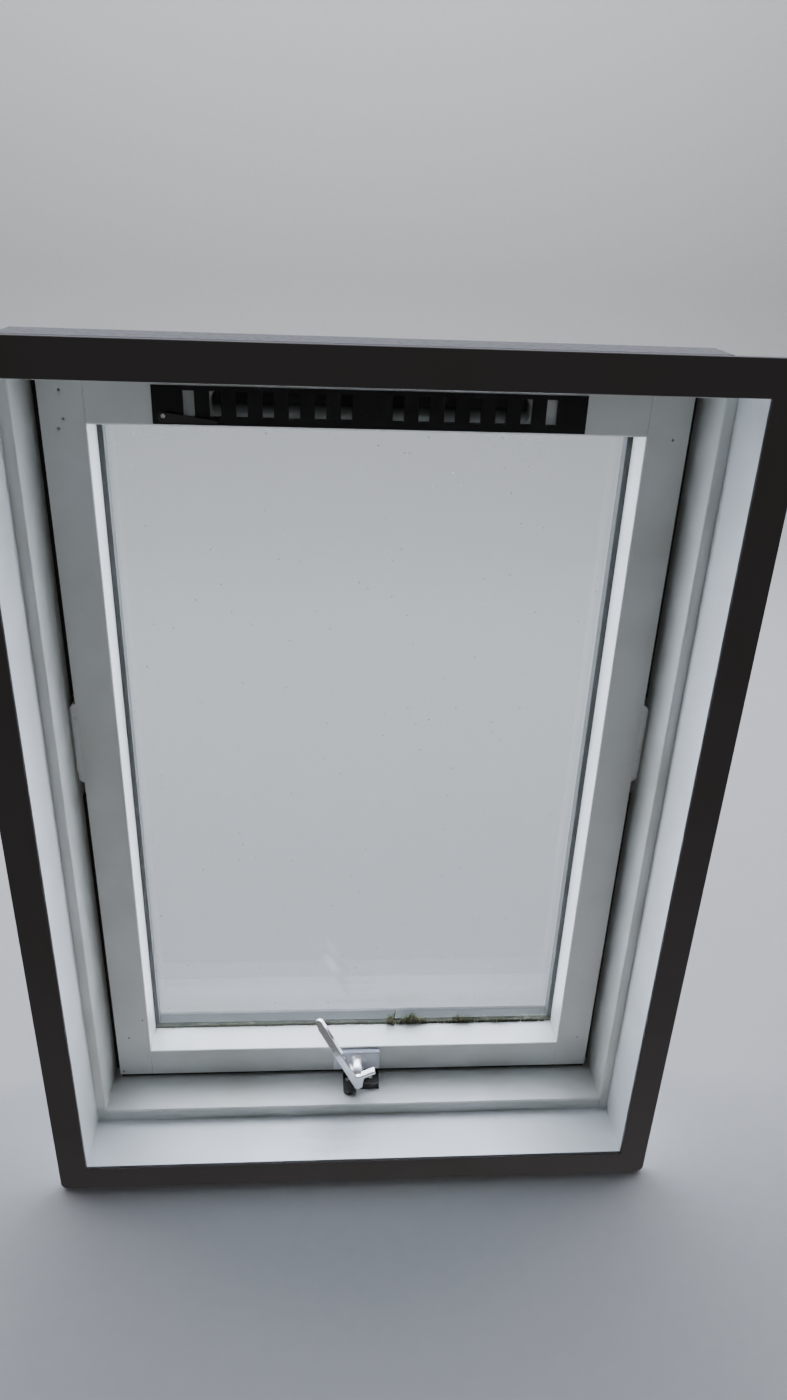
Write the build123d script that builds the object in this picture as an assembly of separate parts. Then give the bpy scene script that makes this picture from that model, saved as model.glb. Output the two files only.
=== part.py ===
from build123d import *
import os
from math import cos, hypot, radians, sin

# A centre-pivot roof window with its timber frame, sash, double glazing, vent grille,
# lever handle, metal weather covers and the lining boards and trim of its reveal.
# X is to the right seen from the room, Y points outdoors and Z runs up the roof.
# The origin is the middle of the four roof screws, in the plane of the roof battens.
# The sash turns about the pivot: its top comes into the room, its bottom goes out.

# Frame timbers
frame_width = 780.0
frame_height = 1080.0
jamb_thickness = 31.5
sill_thickness = 44.5
frame_room_depth = 77.5
frame_outer_depth = 40.0
timber_arris = 2.0
sill_weathering = 4.0
joint_bevel = 0.5

# Gaps between the sash and the frame
side_gap = 10.0
end_gap = 8.0

# Sash timbers
stile_width = 47.5
rail_width = 45.0
sash_room_depth = 18.0
glass_seat_depth = 27.5
rebate_width = 16.0
opening_arris = 1.2
top_rail_arris = 2.0

# Small nail holes in the sash face, each from the nearest outer corner of the sash
nail_hole_radius = 1.5
nail_hole_depth = 6.0
nail_holes = [
    (-1, 1, 23.0, 10.0),
    (-1, 1, 24.5, 39.5),
    (-1, 1, 18.5, 50.0),
    (1, 1, 17.5, 47.0),
    (-1, -1, 40.0, 106.0),
    (-1, -1, 18.0, 72.0),
    (1, -1, 17.5, 55.0),
    (-1, -1, 5.0, 6.0),
]

# Double glazing
pane_thickness = 4.0
pane_gap = 16.0
glass_edge_gap = 3.0
inner_gasket_thickness = 1.5
outer_gasket_thickness = 1.0
gasket_width = 9.0
spacer_width = 12.0
edge_seal_width = 6.0
setting_block_length = 80.0
setting_block_offset = 170.0

# Metal covers over the glass edges and the frame
cover_sheet = 1.5
cover_lip = 9.0
cover_leg_inset = 4.0
cover_joint = 0.5
skirt_depth = 33.5
skirt_clearance = 0.6
flashing_sheet = 1.0
fixed_cover_rise = 3.0
fixed_cover_start = 30.0
moving_cover_stop = 12.0
flank_start = 3.0
flank_return = 28.0
hood_overlap = 46.0
hood_step = 12.0
hood_rise = 18.0
hood_return = 62.0
hood_side_gap = 1.0
hood_clearance = 1.0
hood_nose = 20.0
sill_cover_return = 32.0
bottom_drip = 1.0
drip_return = 25.5
cover_foot_width = 30.0
cover_foot_from_end = 70.0

# Rubber seals between the sash and the frame
seal_depth = 8.0
seal_start = 2.0
seal_clearance = 0.5
seal_end_gap = 2.0
bottom_seal_height = 10.3
bottom_seal_side_gap = 1.0
front_strip_height = 5.0
front_strip_depth = 9.0
front_strip_inset = 1.5

# Pivot and hinges
pivot_height = 71.5
pivot_depth = 50.0
pin_radius = 5.0
pin_play = 0.05
ear_wall = 4.0
hinge_length = 109.0
hinge_thickness = 6.0
hinge_chamfer = 4.0
seat_thickness = 6.0
seat_recess = 3.0
seat_length = 90.0
seat_room_depth = 10.0
hinge_screw_spacing = 36.0
hinge_screw_depth = 8.0

# Roof brackets
bracket_sheet = 2.5
bracket_width = 70.0
bracket_leg = 50.0
bracket_flank = 35.0
bracket_bend = 3.0
roof_hole_radius = 3.0
roof_hole_side = 25.0
roof_hole_from_end = 140.0
bracket_screw_spacing = 40.0
bracket_screw_depth = 21.0

# Lining boards and trim of the reveal
lining_thickness = 12.0
lining_step = 12.5
lining_sill_step = 18.5
lining_groove_depth = 8.0
reveal_depth = 80.5
trim_width = 37.0
trim_thickness = 8.0
trim_rebate_depth = 3.0
trim_corner_radius = 10.0
trim_arris = 1.0
trim_cutter_reach = 5.0

# Vent in the top rail
grille_width = 463.0
grille_height = 40.0
grille_thickness = 2.5
grille_proud = 1.5
slot_width = 12.2
slot_height = 27.5
slot_pitch = 27.6
grille_end_blank = 25.0
slot_raise = 1.5
blank_width = 15.0
blank_height = 14.0
blank_depth = 0.6
grille_end_lap = 5.5
channel_past_slot = 5.4
channel_radius = 12.0
channel_depth = 38.0
channel_margin = 1.5
channel_rise = 13.0
outlet_shoulder = 11.0
outlet_ledge = 2.5
filter_thickness = 8.0
filter_play = 0.3
shutter_thickness = 2.0
shutter_play = 0.3
shutter_lap = 3.0
shutter_overhang = 5.0
shutter_rim = 1.2
shutter_slot_step = 1.0
rib_height = 2.6
rib_lip = 2.0
rib_wall = 1.6
rib_end_gap = 2.0
rib_back_play = 0.2
tab_length = 62.0
tab_radius = 5.5
tab_tip_radius = 1.6
tab_thickness = 5.5
tab_face_gap = 0.4
tab_edge = 2.5
tab_stem_width = 8.0
tab_stem_height = 4.0
tab_stem_rise = 2.5
tab_inset = 6.0

# Lever handle on the bottom rail
hub_below_opening = 20.0
handle_cover_width = 69.0
handle_cover_height = 33.0
handle_cover_depth = 9.0
handle_cover_wall = 1.8
handle_cover_radius = 2.0
handle_base_width = 60.0
handle_base_height = 26.0
handle_base_thickness = 3.0
handle_screw_offset = 22.0
stem_radius = 9.7
stem_neck_radius = 7.5
stem_shoulder = 8.0
flange_radius = 13.5
flange_edge = 1.0
flange_flare = 5.5
flange_gap = 0.2
stem_play = 0.05
spindle_radius = 4.0
spindle_play = 0.05
spindle_past_clip = 6.0
bore_play = 1.0
bore_end_play = 5.0
clip_radius = 8.0
clip_thickness = 2.0
clip_play = 0.3
lever_front = 42.0
lever_thickness = 9.0
lever_width = 10.8
lever_lean = 24.8
lever_offset = 6.0
lever_foot = 20.5
lever_reach = 123.0
lever_end_slant = 11.0
lever_end_cut = 12.0
lever_end_turn = 45.0
lever_edge = 1.6
lever_end_flat = 0.2
tongue_width = 6.2
tongue_angle = 63.5
tongue_offset = 1.3
tongue_reach = 28.0
tongue_web = 8.5
crook_radius = 6.0
tongue_edge = 1.5
web_radius = 2.5

# Black keeper on the frame sill
keeper_left = 20.0
keeper_right = 33.0
keeper_back = 4.0
keeper_plate = 2.5
keeper_slot_left = 7.5
keeper_slot_right = 8.0
left_jaw_front = 42.0
left_jaw_height = 8.0
right_jaw_front = 31.0
right_jaw_height = 11.0
jaw_radius = 5.5
keeper_nose_width = 19.0
keeper_nose_depth = 11.0
keeper_nose_radius = 9.0
keeper_screw_sink = 1.0

# Wood screws
screw_radius = 2.0
screw_head_radius = 3.9
screw_head_height = 2.2
screw_head_flat = 2.3
screw_head_edge = 0.9
screw_length = 22.0
screw_point = 4.0
pilot_play = 0.05
pilot_end_play = 0.5
head_pocket_play = 0.2

# How far a cutting shape runs past the faces that it cuts
cut_past = 1.0

# Edges of the frame, the sash and the opening in it, worked out from the sizes above
frame_half = frame_width / 2
frame_top = frame_height / 2
frame_bottom = -frame_top
roof_hole_height = frame_top - roof_hole_from_end
jamb_face = frame_half - jamb_thickness
head_face = frame_top - jamb_thickness
sill_face = frame_bottom + sill_thickness
sash_half = jamb_face - side_gap
sash_top = head_face - end_gap
sash_bottom = sill_face + end_gap
opening_half = sash_half - stile_width
opening_top = sash_top - rail_width
opening_bottom = sash_bottom + rail_width
sash_face = -sash_room_depth
frame_edge = -frame_room_depth
rebate_half = opening_half + rebate_width
rebate_top = opening_top + rebate_width
rebate_bottom = opening_bottom - rebate_width

# Glass and cover planes
glass_half = rebate_half - glass_edge_gap
glass_top = rebate_top - glass_edge_gap
glass_bottom = rebate_bottom + glass_edge_gap
glass_inner = glass_seat_depth + inner_gasket_thickness
cavity_inner = glass_inner + pane_thickness
cavity_outer = cavity_inner + pane_gap
glass_outer = cavity_outer + pane_thickness
cover_inner = glass_outer + outer_gasket_thickness
cover_outer = cover_inner + cover_sheet
cover_edge = glass_half - cover_lip
cover_top_edge = glass_top - cover_lip
cover_bottom_edge = glass_bottom + cover_lip
fixed_cover_inner = cover_inner + fixed_cover_rise
flank_outer = frame_half + flashing_sheet
moving_skirt = flank_outer + skirt_clearance

# Lining and trim planes
lining_half = jamb_face + lining_step
lining_top = head_face + lining_step
lining_bottom = sill_face - lining_sill_step
trim_face = frame_edge - reveal_depth
trim_back = trim_face + trim_thickness
trim_seat = trim_back - trim_rebate_depth
groove_floor = frame_edge + lining_groove_depth

# Hinge planes
ear_radius = pin_radius + ear_wall
hinge_outer = sash_half + hinge_thickness
seat_outer = jamb_face + seat_recess
seat_inner = seat_outer - seat_thickness

# Vent planes
grille_middle = (sash_top + opening_top) / 2
grille_back = sash_face - grille_proud + grille_thickness
shutter_front = grille_back + shutter_play
shutter_back = shutter_front + shutter_thickness
shutter_height = slot_height + 2 * shutter_rim
rib_back = shutter_back + shutter_play + rib_wall
tray_half = grille_width / 2 - grille_end_lap
tray_height = shutter_height + 2 * (shutter_play + rib_height)
tray_floor = rib_back + rib_back_play
slot_middle = grille_middle + slot_raise
slots_each_side = int((grille_width / 2 - grille_end_blank - slot_width / 2) / slot_pitch)
slot_places = [k * slot_pitch for k in range(-slots_each_side, slots_each_side + 1) if k != 0]
vent_travel = slot_pitch / 2
channel_half = (slots_each_side - 1) * slot_pitch + channel_past_slot
channel_low = slot_middle - slot_height / 2 - channel_margin
channel_high = slot_middle + slot_height / 2 + channel_margin
channel_floor = sash_face + channel_depth
filter_front = channel_floor - filter_thickness
filter_low = channel_low + channel_rise

# Handle planes
hub_height = opening_bottom - hub_below_opening
cover_front = sash_face - handle_cover_depth
base_front = sash_face - handle_base_thickness
spindle_end = sash_face + clip_play + clip_thickness + spindle_past_clip
lever_face = sash_face - lever_front
lever_back = lever_face + lever_thickness


def block(x, y, z):
    """A box between pairs of low and high limits."""
    size = [high - low for low, high in (x, y, z)]
    middle = [(high + low) / 2 for low, high in (x, y, z)]
    return Pos(*middle) * Box(*size)


def bar_along_x(outline, half_length):
    """A bar with a section of Y and Z points, centred across the window."""
    section = Plane.YZ * make_face(Polyline(*outline, close=True))
    return extrude(section, amount=half_length, both=True)


def bar_along_z(outline, low, high):
    """An upright bar with a section of X and Y points."""
    section = Plane.XY.offset(low) * make_face(Polyline(*outline, close=True))
    return extrude(section, amount=high - low)


def plane_facing_room(depth):
    """A drawing plane at one depth: its first axis is X and its second is Z."""
    return Plane(origin=(0, depth, 0), x_dir=(1, 0, 0), z_dir=(0, -1, 0))


def pin_along_y(x, z, radius, low, high):
    """A round pin between two depths."""
    circle = plane_facing_room(high) * Pos(x, z) * Circle(radius)
    return extrude(circle, amount=high - low)


def pin_along_x(y, z, radius, low, high):
    """A round pin between two places across the window."""
    circle = Plane.YZ.offset(low) * Pos(y, z) * Circle(radius)
    return extrude(circle, amount=high - low)


def ring(half_width, bottom, top, width, y):
    """A rectangular ring, its outer edges given, between two depths."""
    outer = block((-half_width, half_width), y, (bottom, top))
    hole_half = half_width - width
    hole = block((-hole_half, hole_half), (y[0] - cut_past, y[1] + cut_past), (bottom + width, top - width))
    return outer - hole


def folded(path, thickness):
    """The outline of a folded sheet: a path and its offset to the left, mitred at the folds."""
    def unit(a, b):
        length = hypot(b[0] - a[0], b[1] - a[1])
        return ((b[0] - a[0]) / length, (b[1] - a[1]) / length)

    runs = [unit(a, b) for a, b in zip(path, path[1:])]
    offset = []
    for index, (x, y) in enumerate(path):
        before = runs[max(index - 1, 0)]
        after = runs[min(index, len(runs) - 1)]
        across = (-(before[1] + after[1]), before[0] + after[0])
        reach = thickness / (across[0] * -before[1] + across[1] * before[0])
        offset.append((x + across[0] * reach, y + across[1] * reach))
    return list(path) + offset[::-1]


def screw():
    """A raised-head wood screw along +Z, its head's underside at the origin."""
    profile = make_face(Polyline(
        (0, screw_head_height),
        (screw_head_flat, screw_head_height),
        (screw_head_radius, screw_head_edge),
        (screw_head_radius, 0),
        (screw_radius, 0),
        (screw_radius, screw_point - screw_length),
        (0, -screw_length),
        close=True,
    ))
    return revolve(Plane.XZ * profile, Axis.Z)


def pilot_hole():
    """The hole that a screw sits in, from just above its head's underside."""
    depth = screw_length + pilot_end_play
    return Pos(0, 0, -depth / 2) * Cylinder(screw_radius + pilot_play, depth)


def mirrored(shape):
    """The same shape on the other side of the window."""
    return mirror(shape, Plane.YZ)


# Places of the wood screws: each turns the screw's +Z to point out of the piece it holds
bracket_screw_places = [
    Pos(side * (frame_half + bracket_sheet), -bracket_screw_depth, end * roof_hole_height + step)
    * Rot(0, side * 90, 0)
    for side in (-1, 1)
    for end in (-1, 1)
    for step in (-bracket_screw_spacing / 2, bracket_screw_spacing / 2)
]
sash_hinge_screw_places = [
    Pos(side * (hinge_outer - screw_head_height), hinge_screw_depth, pivot_height + step)
    * Rot(0, side * 90, 0)
    for side in (-1, 1)
    for step in (-hinge_screw_spacing, 0, hinge_screw_spacing)
]
seat_screw_places = [
    Pos(side * (seat_inner + screw_head_height), hinge_screw_depth, pivot_height + step)
    * Rot(0, -side * 90, 0)
    for side in (-1, 1)
    for step in (-hinge_screw_spacing, hinge_screw_spacing)
]
handle_screw_places = [
    Pos(side * handle_screw_offset, base_front + screw_head_height, hub_height) * Rot(90, 0, 0)
    for side in (-1, 1)
]


def with_pilots(timber, places):
    """A timber with the pilot holes of its screws."""
    for place in places:
        timber = timber - place * pilot_hole()
    return timber


def frame_jamb(side):
    """A side timber with the groove for its lining board and the seat of its hinge."""
    outline = [
        (jamb_face, frame_edge),
        (lining_half, frame_edge),
        (lining_half, groove_floor),
        (lining_half + lining_thickness, groove_floor),
        (lining_half + lining_thickness, frame_edge),
        (frame_half, frame_edge),
        (frame_half, frame_outer_depth),
        (jamb_face, frame_outer_depth),
    ]
    jamb = bar_along_z(outline, frame_bottom, frame_top)
    room_edge = jamb.edges().filter_by(Axis.Z).sort_by(lambda e: hypot(
        e.center().X - jamb_face, e.center().Y - frame_edge))[0]
    jamb = fillet(room_edge, timber_arris)
    seat = block(
        (jamb_face - cut_past, seat_outer),
        (-seat_room_depth, frame_outer_depth + cut_past),
        (pivot_height - seat_length / 2, pivot_height + seat_length / 2),
    )
    jamb = jamb - seat
    if side < 0:
        jamb = mirrored(jamb)
    near = [p for p in bracket_screw_places + seat_screw_places if p.position.X * side > 0]
    return with_pilots(jamb, near)


def frame_head():
    """The top timber, with the groove for the head lining."""
    outline = [
        (frame_edge, head_face),
        (frame_outer_depth, head_face),
        (frame_outer_depth, frame_top),
        (frame_edge, frame_top),
        (frame_edge, lining_top + lining_thickness),
        (groove_floor, lining_top + lining_thickness),
        (groove_floor, lining_top),
        (frame_edge, lining_top),
    ]
    return bar_along_x(outline, jamb_face)


def frame_sill():
    """The bottom timber: its outer half slopes down to shed water."""
    outline = [
        (frame_edge + timber_arris, sill_face),
        (seal_start, sill_face),
        (frame_outer_depth, sill_face - sill_weathering),
        (frame_outer_depth, frame_bottom),
        (frame_edge, frame_bottom),
        (frame_edge, lining_bottom - lining_thickness),
        (groove_floor, lining_bottom - lining_thickness),
        (groove_floor, lining_bottom),
        (frame_edge, lining_bottom),
        (frame_edge, sill_face - timber_arris),
    ]
    return with_pilots(bar_along_x(outline, jamb_face), keeper_screw_places())


def lining_side(side):
    """A side lining board, from the frame's groove to the rebate of the trim."""
    board = block(
        (lining_half, lining_half + lining_thickness),
        (trim_seat, groove_floor),
        (lining_bottom - lining_thickness, lining_top + lining_thickness),
    )
    return board if side > 0 else mirrored(board)


def lining_cross(inner, outer):
    """A head or sill lining board: a tongue of it enters the frame's groove."""
    low, high = sorted((inner, outer))
    board = block((-lining_half, lining_half), (trim_seat, frame_edge), (low, high))
    tongue = block((-jamb_face, jamb_face), (frame_edge, groove_floor), (low, high))
    return board + tongue


def trim_ring():
    """The whole trim before it is cut, with a rebate in its back for the boards' edges."""
    height = lining_top - lining_bottom + 2 * trim_width
    width = 2 * (lining_half + trim_width)
    middle = (lining_top + lining_bottom) / 2
    plane = plane_facing_room(trim_back)
    outer = RectangleRounded(width, height, trim_corner_radius)
    inner = Rectangle(2 * lining_half, lining_top - lining_bottom)
    frame = extrude(plane * Pos(0, middle) * (outer - inner), amount=trim_thickness)
    face_edges = frame.faces().sort_by(Axis.Y)[0].edges()
    half_rebate = lining_half + lining_thickness
    rebate = block(
        (-half_rebate, half_rebate),
        (trim_seat, trim_back + cut_past),
        (lining_bottom - lining_thickness, lining_top + lining_thickness),
    )
    return fillet(face_edges, trim_arris) - rebate


def trim_strip(whole, corner_a, corner_b, out_a, out_b):
    """One strip of the trim, cut at both ends along its mitres."""
    wedge = plane_facing_room(trim_back + cut_past) * make_face(
        Polyline(corner_a, corner_b, out_b, out_a, close=True))
    return whole & extrude(wedge, amount=trim_thickness + 2 * cut_past)


def trim_strips():
    """The four mitred trim strips by name."""
    whole = trim_ring()
    reach = trim_width + trim_cutter_reach
    corners = {
        (sx, sz): (sx * lining_half, lining_top if sz > 0 else lining_bottom)
        for sx in (-1, 1)
        for sz in (-1, 1)
    }
    beyond = {key: (x + key[0] * reach, z + key[1] * reach) for key, (x, z) in corners.items()}
    sides = {
        "trim_head": ((-1, 1), (1, 1)),
        "trim_sill": ((-1, -1), (1, -1)),
        "trim_left": ((-1, -1), (-1, 1)),
        "trim_right": ((1, -1), (1, 1)),
    }
    return {
        name: trim_strip(whole, corners[a], corners[b], beyond[a], beyond[b])
        for name, (a, b) in sides.items()
    }


def roof_bracket(side, end):
    """A bent steel angle: one leg on the frame's flank, one on the roof batten."""
    path = [
        (frame_half + bracket_sheet, -bracket_flank),
        (frame_half + bracket_sheet, 0),
        (frame_half + bracket_leg, 0),
    ]
    outline = make_face(Polyline(*folded(path, bracket_sheet), close=True))
    low = end * roof_hole_height - bracket_width / 2
    angle = extrude(Plane.XY.offset(low) * outline, amount=bracket_width)
    corner = angle.edges().filter_by(Axis.Z).sort_by(lambda e: hypot(
        e.center().X - frame_half, e.center().Y - bracket_sheet))[0]
    angle = fillet(corner, bracket_bend)
    hole_x = frame_half + roof_hole_side
    angle = angle - pin_along_y(
        hole_x, end * roof_hole_height, roof_hole_radius, -cut_past, bracket_sheet + cut_past)
    if side < 0:
        angle = mirrored(angle)
    for place in bracket_screw_places:
        near_side = place.position.X * side > 0
        if near_side and place.position.Z * end > 0:
            angle = angle - place * Cylinder(screw_radius + pilot_play, 4 * bracket_sheet)
    return angle


def hinge_seat(side):
    """The frame's half of a hinge: a recessed plate whose ear carries the bore."""
    plate = block(
        (seat_inner, seat_outer),
        (-seat_room_depth, frame_outer_depth),
        (pivot_height - seat_length / 2, pivot_height + seat_length / 2),
    )
    web = block(
        (seat_inner, seat_outer),
        (0, pivot_depth),
        (pivot_height - ear_radius, pivot_height + ear_radius),
    )
    ear = pin_along_x(pivot_depth, pivot_height, ear_radius, seat_inner, seat_outer)
    bore = pin_along_x(
        pivot_depth, pivot_height, pin_radius + pin_play, seat_inner - cut_past, seat_outer + cut_past)
    seat = plate + web + ear - bore
    if side < 0:
        seat = mirrored(seat)
    return countersunk(seat, [p for p in seat_screw_places if p.position.X * side > 0])


def countersunk(plate, places):
    """A plate with a round pocket and a hole for each screw."""
    for place in places:
        pocket = Pos(0, 0, screw_length / 2) * Cylinder(screw_head_radius + head_pocket_play, screw_length)
        hole = Cylinder(screw_radius + pilot_play, 2 * screw_length)
        plate = plate - place * pocket - place * hole
    return plate


def hinge_plate(side):
    """The sash's half of a hinge: a plate with sloped ends, an ear and the pivot pin."""
    half = hinge_length / 2
    plate = block(
        (sash_half, hinge_outer),
        (sash_face, frame_outer_depth),
        (pivot_height - half, pivot_height + half),
    )
    ends = plate.faces().sort_by(Axis.X)[-1].edges().filter_by(Axis.Y)
    plate = chamfer(ends, hinge_chamfer)
    web = block(
        (sash_half, hinge_outer),
        (0, pivot_depth),
        (pivot_height - ear_radius, pivot_height + ear_radius),
    )
    ear = pin_along_x(pivot_depth, pivot_height, ear_radius, sash_half, hinge_outer)
    pin = pin_along_x(pivot_depth, pivot_height, pin_radius, sash_half, seat_outer)
    plate = plate + web + ear + pin
    if side < 0:
        plate = mirrored(plate)
    return countersunk(plate, [p for p in sash_hinge_screw_places if p.position.X * side > 0])


def hinge_washer(side):
    """The friction washer that fills the gap between the two hinge plates."""
    outer = pin_along_x(pivot_depth, pivot_height, ear_radius, hinge_outer, seat_inner)
    bore = pin_along_x(
        pivot_depth, pivot_height, pin_radius + pin_play, hinge_outer - cut_past, seat_inner + cut_past)
    washer = outer - bore
    return washer if side > 0 else mirrored(washer)


def nail_hole(across, up, from_side, from_end):
    """A small blind hole in the sash's room face."""
    x = across * (sash_half - from_side)
    z = sash_top - from_end if up > 0 else sash_bottom + from_end
    return pin_along_y(x, z, nail_hole_radius, sash_face - cut_past, sash_face + nail_hole_depth)


def sash_stile(side):
    """A side timber of the sash: full height, with the glass rebate on its outer side."""
    outline = [
        (opening_half + opening_arris, sash_face),
        (sash_half, sash_face),
        (sash_half, frame_outer_depth),
        (rebate_half, frame_outer_depth),
        (rebate_half, glass_seat_depth),
        (opening_half, glass_seat_depth),
        (opening_half, sash_face + opening_arris),
    ]
    stile = bar_along_z(outline, sash_bottom, sash_top)
    if side < 0:
        stile = mirrored(stile)
    for across, up, from_side, from_end in nail_holes:
        if across == side:
            stile = stile - nail_hole(across, up, from_side, from_end)
    return with_pilots(stile, [p for p in sash_hinge_screw_places if p.position.X * side > 0])


def sash_rail(end, arris):
    """A cross timber of the sash, between the stiles, its ends bevelled at the joints."""
    inner = opening_top if end > 0 else opening_bottom
    outer = sash_top if end > 0 else sash_bottom
    rebate = rebate_top if end > 0 else rebate_bottom
    outline = [
        (sash_face, inner + end * arris),
        (sash_face, outer),
        (frame_outer_depth, outer),
        (frame_outer_depth, rebate),
        (glass_seat_depth, rebate),
        (glass_seat_depth, inner),
        (sash_face + arris, inner),
    ]
    rail = bar_along_x(outline, opening_half)
    joint_edges = rail.edges().filter_by(Axis.Z).group_by(Axis.Y)[0]
    return chamfer(joint_edges, joint_bevel)


def vent_channel(play):
    """The vent's air channel: round at its ends, its floor rising to the filter's seat."""
    low = channel_low + play
    high = channel_high - play
    half = channel_half - play
    outline = [
        (tray_floor - cut_past, low),
        (tray_floor, low),
        (filter_front, filter_low + play),
        (channel_floor, filter_low + play),
        (channel_floor, high),
        (tray_floor - cut_past, high),
    ]
    rounded = plane_facing_room(channel_floor) * Pos(0, (low + high) / 2) * RectangleRounded(
        2 * half, high - low, channel_radius)
    return bar_along_x(outline, half) & extrude(rounded, amount=channel_floor - tray_floor + cut_past)


def sash_top_rail():
    """The top rail, hollowed for the vent, with an outlet under the hood."""
    half_grille = grille_width / 2
    recess = block(
        (-half_grille, half_grille),
        (sash_face - cut_past, grille_back),
        (grille_middle - grille_height / 2, grille_middle + grille_height / 2),
    )
    tray = block(
        (-tray_half, tray_half),
        (sash_face, tray_floor),
        (slot_middle - tray_height / 2, slot_middle + tray_height / 2),
    )
    half_outlet = channel_half - outlet_shoulder
    outlet = block(
        (-half_outlet, half_outlet),
        (channel_floor - cut_past, frame_outer_depth + cut_past),
        (filter_low + outlet_ledge, channel_high - outlet_ledge),
    )
    return sash_rail(1, top_rail_arris) - recess - tray - vent_channel(0) - outlet


def sash_bottom_rail():
    """The bottom rail, bored for the handle's spindle and its clip."""
    rail = sash_rail(-1, opening_arris)
    bore_floor = spindle_end + bore_end_play
    rail = rail - pin_along_y(
        0, hub_height, spindle_radius + bore_play, sash_face - cut_past, bore_floor)
    clip_floor = sash_face + clip_play + clip_thickness + bore_play
    rail = rail - pin_along_y(0, hub_height, clip_radius + bore_play, sash_face - cut_past, clip_floor)
    return with_pilots(rail, handle_screw_places)


def glass_pane(near):
    """One pane of the double glazing."""
    y = (near, near + pane_thickness)
    return block((-glass_half, glass_half), y, (glass_bottom, glass_top))


def spacer_bar():
    """The spacer that holds the panes apart: a plain bar bent to a ring."""
    return ring(
        glass_half - edge_seal_width,
        glass_bottom + edge_seal_width,
        glass_top - edge_seal_width,
        spacer_width,
        (cavity_inner, cavity_outer),
    )


def edge_seal():
    """The sealant between the panes outside the spacer."""
    return ring(glass_half, glass_bottom, glass_top, edge_seal_width, (cavity_inner, cavity_outer))


def glazing_gasket(y):
    """A rubber strip round the glass, its outer edge in line with the glass."""
    return ring(glass_half, glass_bottom, glass_top, gasket_width, y)


def setting_blocks():
    """Two hard blocks that the glass stands on in the bottom rebate."""
    blocks = []
    for side in (-1, 1):
        middle = side * setting_block_offset
        blocks.append(block(
            (middle - setting_block_length / 2, middle + setting_block_length / 2),
            (glass_inner, frame_outer_depth),
            (rebate_bottom, glass_bottom),
        ))
    return Compound(blocks)


def side_cover(side):
    """A sash side cover: a strip over the glass edge, and below the pivot a wide cap."""
    low = cover_bottom_edge + cover_joint
    high = cover_top_edge - cover_joint
    strip_edge = sash_half - cover_joint
    leg_x = strip_edge - cover_leg_inset
    strip = block((cover_edge, strip_edge), (cover_inner, cover_outer), (low, high))
    leg = block((leg_x - cover_sheet, leg_x), (frame_outer_depth, cover_inner), (low, high))
    cap_top = pivot_height - moving_cover_stop
    skirt_x = (moving_skirt, moving_skirt + cover_sheet)
    cap = block((leg_x, skirt_x[1]), (cover_inner, cover_outer), (low, cap_top))
    skirt = block(skirt_x, (cover_outer - skirt_depth, cover_outer), (low, cap_top))
    cover = strip + leg + cap + skirt
    return cover if side > 0 else mirrored(cover)


def top_cover():
    """The sash's top cover: a strip over the glass edge on four short feet."""
    half = sash_half - cover_joint
    strip = block((-half, half), (cover_inner, cover_outer), (cover_top_edge, sash_top))
    foot_high = sash_top - cover_leg_inset
    foot_low = foot_high - cover_sheet
    last_foot = half - cover_foot_from_end
    for middle in (-last_foot, -last_foot / 2, last_foot / 2, last_foot):
        foot_x = (middle - cover_foot_width / 2, middle + cover_foot_width / 2)
        strip = strip + block(foot_x, (frame_outer_depth, cover_inner), (foot_low, foot_high))
    return strip


def bottom_cover():
    """The sash's bottom cover: it laps over the frame sill and turns in below it."""
    drip_high = frame_bottom - flashing_sheet - bottom_drip
    drip_low = drip_high - cover_sheet
    half = moving_skirt + cover_sheet
    face = block((-half, half), (cover_inner, cover_outer), (drip_low, cover_bottom_edge))
    drip = block((-half, half), (cover_outer - drip_return, cover_outer), (drip_low, drip_high))
    leg_half = sash_half - cover_leg_inset
    leg_low = sash_bottom + cover_leg_inset
    leg = block(
        (-leg_half, leg_half), (frame_outer_depth, cover_inner), (leg_low, leg_low + cover_sheet))
    cover = face + drip + leg
    for side in (-1, 1):
        x = sorted((side * moving_skirt, side * half))
        cover = cover + block(x, (cover_outer - skirt_depth, cover_outer), (drip_low, cover_bottom_edge))
    return cover


def frame_upper_cover(side):
    """The frame's fixed side cover above the pivot, lapping over the sash."""
    low = pivot_height + fixed_cover_start
    high = frame_top - hood_overlap
    outer_y = fixed_cover_inner + cover_sheet
    inner_x = sash_half - cover_joint - cover_leg_inset - cover_sheet
    x = (flank_outer, flank_outer + cover_sheet)
    face = block((inner_x, x[1]), (fixed_cover_inner, outer_y), (low, high))
    skirt = block(x, (outer_y - skirt_depth, outer_y), (low, high))
    cover = face + skirt
    return cover if side > 0 else mirrored(cover)


def flank_cover(side):
    """The folded sheet on a jamb's flank and outer face, for the frame's full height."""
    path = [
        (frame_half, flank_start),
        (frame_half, frame_outer_depth),
        (frame_half - flank_return, frame_outer_depth),
    ]
    sheet = bar_along_z(folded(path, -flashing_sheet), frame_bottom, frame_top)
    return sheet if side > 0 else mirrored(sheet)


def sill_cover():
    """The folded sheet on the sill's outer face and underside."""
    path = [
        (frame_outer_depth, sill_face - sill_weathering),
        (frame_outer_depth, frame_bottom),
        (frame_outer_depth - sill_cover_return, frame_bottom),
    ]
    return bar_along_x(folded(path, flashing_sheet), frame_half - flank_return)


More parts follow.
